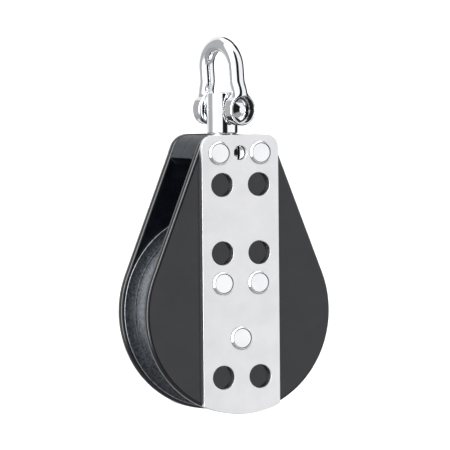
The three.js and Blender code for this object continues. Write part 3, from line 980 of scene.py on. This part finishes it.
@dataclass(frozen=True)
class PlateShape:
    """The outline that the side plates and the head share: a round end and two straight flanks."""

    radius: float = 39.0
    top: float = 68.6
    top_half_width: float = 14.46
    corner_radius: float = 7.0

    @property
    def flank_angle(self) -> float:
        """The flanks' lean from upright, where they are tangent to the round end."""
        reach = math.hypot(self.top_half_width, self.top)
        return math.atan2(self.top, self.top_half_width) - math.acos(self.radius / reach)

    def half_width(self, height: float, inset: float = 0) -> float:
        """Half the width between the flanks at a height, moved in by an inset."""
        angle = self.flank_angle
        return (self.radius - inset - height * math.sin(angle)) / math.cos(angle)

    def shoulder(self, inset: float = 0) -> Outline:
        """The round between the right-hand flank and the top edge, from the flank up."""
        height = self.top - self.corner_radius
        centre = (self.half_width(height, self.corner_radius), height)
        return arc(centre, self.corner_radius - inset, self.flank_angle, math.pi / 2, 20)

    def outline(self) -> Outline:
        """The whole outline."""
        angle = self.flank_angle
        end = arc((0, 0), self.radius, math.pi - angle, 2 * math.pi + angle, 120)
        return [*end, *self.shoulder(), *mirrored(self.shoulder())]


@dataclass(frozen=True)
class RivetLayout:
    """Where the five rivets stand across the plates, in heights above the axle."""

    places: dict[str, Point] = field(
        default_factory=lambda: {
            "head_rivet_left": (-8.7, 61.7),
            "head_rivet_right": (8.7, 61.7),
            "hub_rivet_left": (-7.53, 11.58),
            "hub_rivet_right": (7.53, 11.58),
            "hub_rivet_lower": (0.0, -9.65),
        }
    )
    hole: float = 3.1

    def holes(self) -> list[Outline]:
        """A round outline for each rivet's hole."""
        return [round_hole(at, self.hole) for at in self.places.values()]


@dataclass
class Cheek(SubAssembly):
    """All that covers one side of the sheave: side plate, strap, head half, hub cap and ring."""

    side: Side = Side.REAR
    shape: PlateShape = field(default_factory=PlateShape)
    rivets: RivetLayout = field(default_factory=RivetLayout)
    plate_inner: float = 10.5
    plate_outer: float = 14.0
    plate_edge: float = 1.3
    strap_inner: float = 14.05
    strap_outer: float = 16.15
    strap_half_width: float = 16.2
    strap_corner: float = 5.0
    strap_edge: float = 0.16
    rear_inset: float = 1.05
    window_radius: float = 4.6
    window_x: float = 7.77
    window_heights: tuple[float, ...] = (49.5, 23.2, -24.65)
    lock_hole: float = 2.8
    lock_height: float = 61.7
    head_bottom: float = 59.5
    head_inset: float = 0.4
    head_edge: float = 0.35
    apron_drop: float = 2.6
    apron_taper: float = 2.2
    apron_thickness: float = 1.3
    boss_half_width: float = 9.5
    boss_bottom: float = 50.8
    flange_room: float = 8.05
    flange_room_top: float = 55.6
    parting: float = 0.02
    gap: float = 0.05
    bushing_bore: float = 6.2
    cap_radius: float = 23.0
    ring_inner: float = 28.5
    ring_outer: float = 33.2
    trim_inner: float = 7.95

    def node(self, kind: str) -> str:
        """The CAD node's name for a kind of piece on this side."""
        return f"{self.side.word}_{kind}"

    def lock_outline(self) -> list[Outline]:
        """The lock screw's hole, which both straps have, and of the rest the front only."""
        return [round_hole((0, self.lock_height), self.lock_hole)]

    def side_plate(self) -> bpy.types.Mesh:
        """The side plate, with well rounded edges."""
        holes = [*self.rivets.holes(), *(self.lock_outline() if self.side is Side.FRONT else [])]
        outline = self.shape.outline()
        return extruded(outline, self.plate_inner, self.plate_outer, self.plate_edge, holes)

    def strap_corner_outline(self) -> Outline:
        """The strap's upper right corner: square at the front, and trimmed to the plate behind."""
        if self.side is Side.FRONT:
            corner = (self.strap_half_width - self.strap_corner, self.shape.top - self.strap_corner)
            return arc(corner, self.strap_corner, 0, math.pi / 2, 16)
        angle = self.shape.flank_angle
        room = self.shape.radius - self.rear_inset - self.strap_half_width * math.cos(angle)
        return [(self.strap_half_width, room / math.sin(angle)), *self.shape.shoulder(self.rear_inset)]

    def strap(self) -> bpy.types.Mesh:
        """The strap, with its rows of windows."""
        corner = self.strap_corner_outline()
        end_angle = math.acos(self.strap_half_width / self.shape.radius)
        end = arc((0, 0), self.shape.radius, math.pi + end_angle, 2 * math.pi - end_angle, 40)
        windows = [
            round_hole((x, z), self.window_radius, 64)
            for z in self.window_heights
            for x in (-self.window_x, self.window_x)
        ]
        return extruded(
            [*end, *corner, *mirrored(corner)],
            self.strap_inner,
            self.strap_outer,
            self.strap_edge,
            [*windows, *self.rivets.holes(), *self.lock_outline()],
        )

    def head_half(self) -> bpy.types.Mesh:
        """One half of the head, with the boss round the post's flange and the apron by the plate."""
        inner, outer = self.parting, self.plate_inner - self.gap
        wide = self.shape.half_width(self.head_bottom, self.head_inset)
        crown = self.shape.shoulder(self.head_inset)
        under = rounded(
            [
                (-wide, self.head_bottom + 3, 0),
                (-wide, self.head_bottom, 0.5),
                (-self.boss_half_width, self.head_bottom, 0.8),
                (-self.boss_half_width, self.boss_bottom, 0.8),
                (self.boss_half_width, self.boss_bottom, 0.8),
                (self.boss_half_width, self.head_bottom, 0.8),
                (wide, self.head_bottom, 0.5),
                (wide, self.head_bottom + 3, 0),
            ]
        )[1:-1]
        block = extruded([*under, *crown, *mirrored(crown)], inner, outer, self.head_edge)
        narrow = wide - self.apron_taper
        low = self.head_bottom - self.apron_drop
        apron_corners = [
            (-narrow, low, 0.4),
            (narrow, low, 0.4),
            (wide - 0.05, self.head_bottom, 0.4),
            (wide - 0.4, self.head_bottom + 2, 0),
            (-wide + 0.4, self.head_bottom + 2, 0),
            (-wide + 0.05, self.head_bottom, 0.4),
        ]
        apron = extruded(rounded(apron_corners), outer - self.apron_thickness, outer - 0.02, 0.25)
        cutters = [
            column(self.bushing_bore, self.boss_bottom - 1, self.shape.top + 1),
            column(self.flange_room, self.boss_bottom - 1, self.flange_room_top),
        ]
        if self.side is Side.FRONT:
            cutters.append(rod(0, self.lock_height, self.lock_hole, -1, outer + 1))
        return combined(combined(block, [apron], Join.ADD), cutters)

    def build(self) -> None:
        """Makes this side's pieces."""
        self.add(self.node("side_plate"), facing(self.side_plate(), self.side))
        self.add(self.node("strap"), facing(self.strap(), self.side))
        self.add(self.node("head_half"), facing(self.head_half(), self.side))
        low, high = self.trim_inner, self.plate_inner - self.gap
        cap = eased_block(0.0, self.cap_radius, low, high, 0, SOFT, CRISP, 0)
        self.add(self.node("hub_cap"), facing(turned(cap), self.side))
        ring = eased_block(self.ring_inner, self.ring_outer, low, high, SOFT, SOFT, CRISP, CRISP)
        self.add(self.node("thrust_ring"), facing(turned(ring, segments=160), self.side))

    def dress(self) -> None:
        """Gives each piece its finish."""
        self.finish_as(ANODISED_PLATE, self.node("side_plate"))
        self.finish_as(SATIN_STEEL, self.node("strap"))
        self.finish_as(MOULDED_NYLON, self.node("head_half"))
        self.finish_as(GROUND_STEEL, self.node("hub_cap"))
        self.finish_as(WHITE_ACETAL, self.node("thrust_ring"))


@dataclass
class Rivets(SubAssembly):
    """The five rivets through the block, each with a low, slightly dished head at both ends."""

    layout: RivetLayout = field(default_factory=RivetLayout)
    shank_radius: float = 2.9
    head_radius: float = 4.55
    head_height: float = 0.75
    seat: float = 16.3
    chamfer: float = 0.5
    dish: float = 0.35
    rim: float = 0.2
    dish_wall: float = 0.25

    def build(self) -> None:
        """Makes the rivets."""
        top = self.seat + self.head_height
        face = self.head_radius - self.chamfer
        half = [
            (self.shank_radius, self.seat, 0),
            (self.head_radius, self.seat, 0),
            (self.head_radius, top - self.chamfer, EASED),
            (face, top, 0.15),
            (face - self.rim, top, 0.08),
            (face - self.rim - self.dish_wall, top - self.dish, CRISP),
            (0.0, top - self.dish, 0),
        ]
        lower = [(radius, -depth, fillet) for radius, depth, fillet in reversed(half)]
        for node, (x, z) in self.layout.places.items():
            self.add(node, moved(turned(rounded([*lower, *half]), segments=96), x=x, z=z))

    def dress(self) -> None:
        """Polishes them, and paints shade on the wall of each dish in dark, dull steel."""
        self.finish_as(POLISHED_STEEL, *self.layout.places)
        high = self.head_radius - self.chamfer - self.rim + TOUCH
        low = high - self.dish_wall - 2 * TOUCH
        for node, (x, z) in self.layout.places.items():
            self.part_as(RECESS_SHADE_STEEL, node, lambda at: low < math.hypot(at.x - x, at.z - z) < high)


@dataclass
class LockScrew(SubAssembly):
    """The slotted screw in the front strap, which keeps the head post from turning."""

    radius: float = 2.6
    face: float = -15.0
    tip: float = -5.0
    dome: float = 0.75
    slot_width: float = 0.9
    slot_depth: float = 1.7
    height: float = 61.7

    def build(self) -> None:
        """Makes the screw."""
        corners = [
            (self.radius, self.tip - self.radius / 2, 0),
            (self.radius / 2, self.tip, EASED),
            (0.0, self.tip, 0),
        ]
        bend = (self.radius**2 + self.dome**2) / (2 * self.dome)
        rise = math.asin(self.radius / bend)
        end = arc((0.0, self.face + bend), bend, -math.pi / 2, rise - math.pi / 2, 12)
        blank = moved(turned(end + rounded(corners), segments=64), z=self.height)
        half, reach = self.slot_width / 2, 2 * self.radius
        slot = extruded(
            block_of(-half, half, self.height - reach, self.height + reach),
            self.face - 1,
            self.face + self.slot_depth,
            0.05,
        )
        self.add("lock_screw", combined(blank, [slot]))

    def dress(self) -> None:
        """Polishes it, and paints shade in its slot in dark, dull steel."""
        self.finish_as(POLISHED_STEEL, "lock_screw")
        self.part_as(RECESS_SHADE_STEEL, "lock_screw", lambda at: abs(at.x) < self.slot_width / 2 + TOUCH)


@dataclass
class SheaveWheel(SubAssembly):
    """The grooved sheave, with the outer race pressed into it."""

    radius: float = 38.0
    half_width: float = 9.9
    flange_tip: float = 0.66
    groove_depth: float = 8.2
    bore: float = 27.3
    rim_inner: float = 34.4
    cheek: float = 7.65
    race_inner: float = 25.65
    # How far in from the flange tips the painted highlight reaches.
    highlight_depth: float = 0.3
    edge: float = 0.28
    groove_steps: int = 48

    def build(self) -> None:
        """Makes the sheave and the race."""
        groove_half = self.half_width - self.flange_tip
        groove_radius = (groove_half**2 + self.groove_depth**2) / (2 * self.groove_depth)
        centre = self.radius - self.groove_depth + groove_radius
        sweep = math.atan2(groove_half, centre - self.radius)
        groove = arc((centre, 0), groove_radius, math.pi + sweep, math.pi - sweep, self.groove_steps)
        near = [
            (self.bore, -self.cheek, EASED),
            (self.rim_inner, -self.cheek, 0.5),
            (self.rim_inner, -self.half_width, 0.4),
            (self.radius, -self.half_width, self.edge),
            (*groove[0], self.edge),
        ]
        far = [(radius, -depth, bend) for radius, depth, bend in reversed(near[:-1])]
        floor = [(*point, 0) for point in groove[2:-2]]
        corners = [*near, *floor, (*groove[-1], self.edge), *far]
        self.add("sheave", turned(rounded(corners), segments=192), flat=False)
        half = self.cheek
        race = eased_block(self.race_inner, self.bore, -half, half, EASED, CRISP, CRISP, EASED)
        self.add("sheave_race", turned(race, segments=160))

    def dress(self) -> None:
        """Anodises the sheave, and paints a highlight on the tips of its flanges in light grey."""
        self.finish_as(ANODISED_SHEAVE, "sheave")
        highlight_from = self.radius - self.highlight_depth
        self.part_as(RIM_HIGHLIGHT, "sheave", lambda at: math.hypot(at.x, at.z) > highlight_from)
        self.finish_as(GROUND_STEEL, "sheave_race")


@dataclass
class BallRow(SubAssembly):
    """One row of bearing balls in its cage."""

    side: Side = Side.REAR
    count: int = 14
    ball_radius: float = 2.5
    circle: float = 23.0
    depth: float = 3.75
    pocket: float = 2.8
    wall: float = 2.4
    half_width: float = 3.6

    def build(self) -> None:
        """Makes the cage and the balls."""
        depth = self.side.value * self.depth
        inner, outer = self.circle - self.wall / 2, self.circle + self.wall / 2
        section = eased_block(inner, outer, depth - self.half_width, depth + self.half_width, SOFT)
        angles = [2 * math.pi * i / self.count for i in range(self.count)]
        pockets = []
        for angle in angles:
            tool = turned(block_of(0.0, self.pocket, inner - 1, outer + 1), Axis.ALONG_Z, 32)
            turn = Matrix.Rotation(math.pi / 2 - angle, 4, "Y")
            tool.transform(Matrix.Translation((0, depth, 0)) @ turn)
            pockets.append(tool)
        cage = combined(turned(section, segments=112), pockets)
        self.add(f"{self.side.word}_ball_cage", cage)
        profile = arc((0, 0), self.ball_radius, -math.pi / 2, math.pi / 2, 20)
        for number, angle in enumerate(angles, 1):
            ball = turned([(abs(radius), along) for radius, along in profile], segments=40)
            moved(ball, self.circle * math.cos(angle), depth, self.circle * math.sin(angle))
            self.add(f"{self.side.word}_ball_{number:02d}", ball, flat=False)

    def dress(self) -> None:
        """Gives the balls and the cage their acetal."""
        cage, *balls = self.pieces
        self.finish_as(BLACK_ACETAL, cage)
        self.finish_as(WHITE_ACETAL, *balls)


@dataclass
class HubAndBushes(SubAssembly):
    """The hub that the balls run on, and the bushes that the head post turns in."""

    rivets: RivetLayout = field(default_factory=RivetLayout)
    hub_radius: float = 20.35
    hub_half_width: float = 7.65
    bush_inner: float = 4.85
    bush_outer: float = 6.05
    bush_height: float = 2.8
    bush_bottoms: dict[str, float] = field(
        default_factory=lambda: {"upper_swivel_bush": 65.4, "lower_swivel_bush": 55.5}
    )

    def build(self) -> None:
        """Makes the hub and the bushes."""
        half = self.hub_half_width
        blank = turned(eased_block(0.0, self.hub_radius, -half, half, 0, SOFT, SOFT, 0))
        holes = [
            rod(x, z, self.rivets.hole, -2 * half, 2 * half)
            for node, (x, z) in self.rivets.places.items()
            if node.startswith("hub")
        ]
        self.add("hub", combined(blank, holes))
        for node, bottom in self.bush_bottoms.items():
            top = bottom + self.bush_height
            section = eased_block(self.bush_inner, self.bush_outer, bottom, top, EASED)
            self.add(node, turned(section, Axis.ALONG_Z, 96))

    def dress(self) -> None:
        """Gives the hub and the bushes their finishes."""
        self.finish_as(GROUND_STEEL, "hub")
        self.finish_as(WHITE_ACETAL, *self.bush_bottoms)


# ---- Studio ----------------------------------------------------------------------------------


@dataclass(frozen=True)
class Flag:
    """A stretch of the surroundings as the polished steel sees it, by compass angle.

    The angle counts from the front, anticlockwise seen from below, so that positive angles are
    on the right of someone who faces the block.
    """

    start: float
    brightness: float


@dataclass
class Studio:
    """The pale floor, the soft light all round with its dark flags, and the camera."""

    view_turn: float = 24.93
    view_rise: float = 2.66
    view_roll: float = 0.51
    distance: float = 1746.0
    target: tuple[float, float, float] = (0.79, 0.0, -44.90)
    lens: float = 360.0
    sensor: float = 36.0
    floor_drop: float = 30.0
    floor_half: float = 30000.0
    key_power: float = 3.0
    key_size_m: Point = (0.7, 0.9)
    key_place_m: tuple[float, float, float] = (-0.75, -0.45, 0.55)
    key_aim_m: tuple[float, float, float] = (0.0, 0.0, -0.05)
    flags: tuple[Flag, ...] = (
        Flag(-180, 1.0),
        Flag(-150, 0.5),
        Flag(-103, 1.2),
        Flag(-84, 9.0),
        Flag(-62, 1.2),
        Flag(-22, 0.015),
        Flag(15, 1.11),
        Flag(85, 0.03),
        Flag(155, 1.0),
    )
    flag_blend: float = 1.5
    overhead: float = 1.9
    overhead_from: float = 0.85
    overhead_blend: float = 0.08
    underfoot: float = 0.4
    underfoot_from: float = -0.42
    underfoot_blend: float = 0.1
    backdrop: float = 1.05

    def camera(self) -> None:
        """The camera, a little above the block's middle and to the left of its front."""
        angles = (self.view_turn, self.view_rise, self.view_roll)
        turn, rise, roll = (math.radians(a) for a in angles)
        level = math.cos(rise)
        back = Vector((-math.sin(turn) * level, -math.cos(turn) * level, math.sin(rise)))
        right = Vector((math.cos(turn), -math.sin(turn), 0))
        up = back.cross(right)
        across = right * math.cos(roll) - up * math.sin(roll)
        upward = right * math.sin(roll) + up * math.cos(roll)
        data = bpy.data.cameras.new("camera")
        data.sensor_width = self.sensor
        data.lens = self.lens
        data.clip_start, data.clip_end = 0.05, 50
        seat = linked("camera", data)
        place = (Vector(self.target) + back * self.distance) * MM
        axes = Matrix((across, upward, back)).transposed().to_4x4()
        seat.matrix_world = Matrix.Translation(place) @ axes
        bpy.context.scene.camera = seat

    def floor(self) -> None:
        """The floor, a little below the hanging block."""
        height = CAD_BOX[0].z - self.floor_drop * MM
        half = self.floor_half * MM
        mesh = bpy.data.meshes.new("floor")
        corners = [(-half, -half), (half, -half), (half, half), (-half, half)]
        mesh.from_pydata([(x, y, height) for x, y in corners], [], [(0, 1, 2, 3)])
        plane = linked("floor", mesh)
        made = bpy.data.materials.new("matt_white_board")
        made.use_nodes = True
        shader = made.node_tree.nodes["Principled BSDF"]
        shader.inputs["Base Color"].default_value = linear("#FFFFFF")
        shader.inputs["Roughness"].default_value = 0.9
        shader.inputs["Specular IOR Level"].default_value = 0.1
        mesh.materials.append(made)
        # The steel sees the dark flags down to the ground instead of the floor.
        plane.visible_glossy = False

    @staticmethod
    def grey(value: float) -> tuple[float, float, float, float]:
        """An opaque linear grey, which may be brighter than white."""
        return (value, value, value, 1.0)

    def surroundings(self) -> None:
        """The room with its dark flags, which reflections and soft light see and the camera doesn't."""
        world = bpy.data.worlds.new("studio")
        bpy.context.scene.world = world
        world.use_nodes = True
        tree = world.node_tree
        tree.nodes.clear()
        way = add_node(tree, "ShaderNodeTexCoord").outputs["Generated"]
        parts = add_node(tree, "ShaderNodeSeparateXYZ", {"Vector": way}).outputs
        turned_y = {0: parts["Y"], 1: -1.0}
        forward = add_node(tree, "ShaderNodeMath", turned_y, operation="MULTIPLY").outputs[0]
        sides = {0: parts["X"], 1: forward}
        compass = add_node(tree, "ShaderNodeMath", sides, operation="ARCTAN2").outputs[0]
        share = ranged(tree, compass, -math.pi, math.pi)
        ramp = add_node(tree, "ShaderNodeValToRGB", {"Fac": share})
        stops = ramp.color_ramp.elements
        stops[0].color = self.grey(self.flags[0].brightness)
        stops[1].color = self.grey(self.flags[-1].brightness)
        for before, flag in zip(self.flags, self.flags[1:]):
            for angle, value in (
                (flag.start - self.flag_blend, before.brightness),
                (flag.start + self.flag_blend, flag.brightness),
            ):
                stops.new((angle + 180) / 360).color = self.grey(value)
        height, above, below = parts["Z"], self.overhead_from, self.underfoot_from
        rising = ranged(tree, height, above - self.overhead_blend, above + self.overhead_blend)
        falling = ranged(tree, height, below + self.underfoot_blend, below - self.underfoot_blend)
        lit = mixed(tree, rising, ramp.outputs["Color"], self.grey(self.overhead))
        shaded = mixed(tree, falling, lit, self.grey(self.underfoot))
        room, white = (
            add_node(tree, "ShaderNodeBackground", inputs).outputs["Background"]
            for inputs in (
                {"Color": shaded, "Strength": 1.0},
                {"Color": self.grey(1.0), "Strength": self.backdrop},
            )
        )
        seen = add_node(tree, "ShaderNodeLightPath").outputs["Is Camera Ray"]
        both = add_node(tree, "ShaderNodeMixShader", {0: seen, 1: room, 2: white})
        add_node(tree, "ShaderNodeOutputWorld", {"Surface": both.outputs["Shader"]})

    def key_light(self) -> None:
        """A large softbox above the front left."""
        data = bpy.data.lights.new("softbox", "AREA")
        data.shape = "RECTANGLE"
        data.size, data.size_y = self.key_size_m
        data.energy = self.key_power
        lamp = linked("softbox", data)
        place = Vector(self.key_place_m)
        facing_block = (Vector(self.key_aim_m) - place).to_track_quat("-Z", "Y")
        lamp.matrix_world = Matrix.Translation(place) @ facing_block.to_matrix().to_4x4()

    def make(self) -> None:
        """Sets the studio up."""
        bpy.context.scene.view_settings.view_transform = "Standard"
        self.camera()
        self.floor()
        self.surroundings()
        self.key_light()


# ---- The whole block ---------------------------------------------------------------------------


def main() -> None:
    """Builds the studio and then the block, sub-assembly by sub-assembly."""
    logging.basicConfig(level=logging.INFO, format="%(name)s %(message)s")
    Studio().make()
    low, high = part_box("sheave")
    axle = Matrix.Translation((0, 0, (low[2] + high[2]) / 2 / MM))
    about_post = Matrix.Rotation(math.radians(SHACKLE_TURN), 4, "Z")
    about_pin = Matrix.Rotation(math.radians(-SHACKLE_LEAN), 4, "Y")
    along_pin = Matrix.Translation((0, -SHACKLE_SHIFT, 0))
    parts: list[SubAssembly] = [
        Shackle("shackle", about_post @ about_pin @ along_pin),
        HeadPost("head_post", axle @ about_post),
        Cheek("block", axle, side=Side.FRONT),
        Cheek("block", axle, side=Side.REAR),
        Rivets("block", axle),
        HubAndBushes("block", axle),
        LockScrew("lock_screw", axle),
        SheaveWheel("sheave", axle),
        BallRow("front_ball_row", axle, side=Side.FRONT),
        BallRow("rear_ball_row", axle, side=Side.REAR),
    ]
    for part in parts:
        part.make()


if __name__ == "__main__":
    main()
